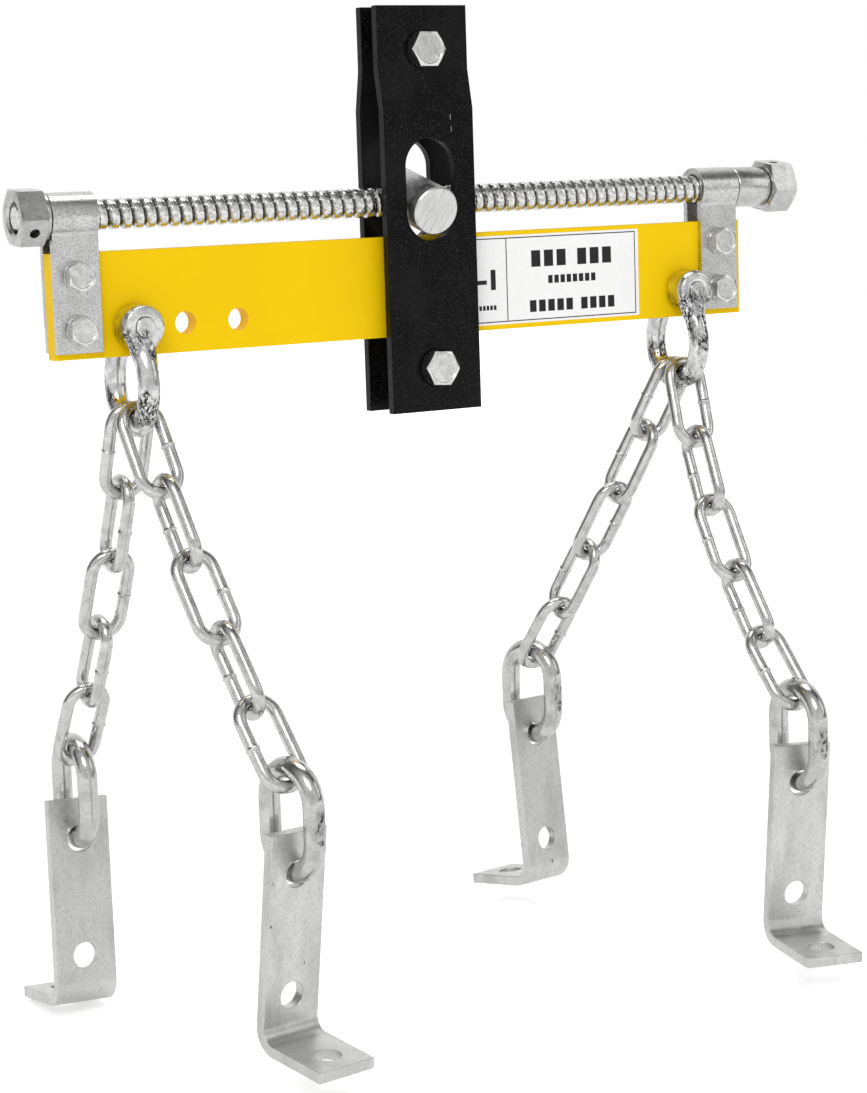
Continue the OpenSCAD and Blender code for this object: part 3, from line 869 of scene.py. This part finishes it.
def camera():
    yaw, pitch, roll = (radians(a) for a in (CAMERA_YAW, CAMERA_PITCH, CAMERA_ROLL))
    look = Vector((sin(yaw) * cos(pitch), cos(yaw) * cos(pitch), -sin(pitch)))
    side = Vector((cos(yaw), -sin(yaw), 0))
    up = side.cross(look)
    side_r = side * cos(roll) + up * sin(roll)
    up_r = up * cos(roll) - side * sin(roll)
    data = bpy.data.cameras.new("camera")
    data.sensor_fit = "VERTICAL"
    data.sensor_height = SENSOR
    data.lens = CAMERA_LENS
    made = bpy.data.objects.new("camera", data)
    turn = Matrix((side_r, up_r, -look)).transposed().to_4x4()
    made.matrix_world = Matrix.Translation(Vector(CAMERA_AT) * MM) @ turn
    bpy.context.scene.collection.objects.link(made)
    bpy.context.scene.camera = made


def soft_light(name, at, size, power, aim=(0, 0, -0.25)):
    data = bpy.data.lights.new(name, "AREA")
    data.shape = "RECTANGLE"
    data.size, data.size_y = size
    data.energy = power
    made = bpy.data.objects.new(name, data)
    made.location = at
    made.rotation_euler = (Vector(aim) - Vector(at)).to_track_quat("-Z", "Y").to_euler()
    bpy.context.scene.collection.objects.link(made)


def world():
    """A studio that looks white to the camera and has soft darker bands to the sides for everything
    else, so that bare metal has something to mirror."""
    made = bpy.data.worlds.new("studio")
    bpy.context.scene.world = made
    made.use_nodes = True
    tree = made.node_tree
    background = tree.nodes["Background"]
    coords = tree.nodes.new("ShaderNodeTexCoord")
    toward = tree.nodes.new("ShaderNodeVectorMath")
    toward.operation = "DOT_PRODUCT"
    yaw = radians(CAMERA_YAW)
    toward.inputs[1].default_value = (-sin(yaw), -cos(yaw), 0)
    tree.links.new(coords.outputs["Generated"], toward.inputs[0])
    span = tree.nodes.new("ShaderNodeMapRange")
    span.inputs["From Min"].default_value = -1
    tree.links.new(toward.outputs["Value"], span.inputs["Value"])
    bands = tree.nodes.new("ShaderNodeValToRGB")
    ramp = bands.color_ramp
    stops = (
        (0.0, 1.0), (0.14, 1.0), (0.26, 0.8), (0.38, 0.2),
        (0.54, 0.1), (0.7, 0.55), (0.86, 0.9), (1.0, 0.68))
    while len(ramp.elements) < len(stops):
        ramp.elements.new(0.5)
    for element, (place, value) in zip(ramp.elements, stops):
        element.position = place
        element.color = (value, value, value, 1)
    tree.links.new(span.outputs["Result"], bands.inputs["Fac"])
    rays = tree.nodes.new("ShaderNodeLightPath")
    mix = tree.nodes.new("ShaderNodeMix")
    mix.data_type = "RGBA"
    tree.links.new(rays.outputs["Is Camera Ray"], mix.inputs["Factor"])
    colours = [s for s in mix.inputs if s.type == "RGBA"]
    tree.links.new(bands.outputs["Color"], colours[0])
    colours[1].default_value = (1, 1, 1, 1)
    tree.links.new([s for s in mix.outputs if s.type == "RGBA"][0], background.inputs["Color"])


def floor_sheet():
    """A pale round floor under the lowest foot that fades into the white of the studio. It glows less
    for everything but the camera."""
    s = Shader("floor")
    s.set(Roughness=0.9, Specular_IOR_Level=0.1)
    length = s.add("ShaderNodeVectorMath", operation="LENGTH")
    s.link(s.coords.outputs["Object"], length.inputs[0])
    rays = s.add("ShaderNodeLightPath")
    fade = s.ramp(length.outputs["Value"], 0.5, 2.2, 0.45, 1.0)
    seen = s.ramp(rays.outputs["Is Camera Ray"], 0, 1, 0.6, 1)
    s.link(s.times(fade, seen), s.bsdf.inputs["Emission Strength"])
    s.set(Emission_Color=(1, 1, 1, 1))
    colour = s.mix(s.ramp(s.noise(400, 2), 0.3, 0.7, 0, 1), (0.9, 0.9, 0.9), (0.88, 0.88, 0.88))
    colour = s.mix(rays.outputs["Is Camera Ray"], (0.8, 0.8, 0.8), colour)
    bm = bmesh.new()
    bmesh.ops.create_circle(bm, cap_ends=True, segments=128, radius=6)
    made = finish_mesh("floor", bm, s.done(colour))
    made.location = (0, 0, cad_low.z)


def studio():
    soft_light("key", (-1.3, -1.7, 1.5), (1.2, 0.8), 18)
    soft_light("fill", (1.6, -1.2, 0.6), (0.8, 1.2), 3.5)
    soft_light("top", (0.1, 0.3, 1.8), (1.4, 0.8), 12)
    world()
    floor_sheet()
    bpy.context.scene.view_settings.view_transform = "Standard"


camera()
studio()
hanger()
fasteners()
bar_and_straps()
screw_group()
shackles()
for leg_name in LEGS:
    build_leg(leg_name)
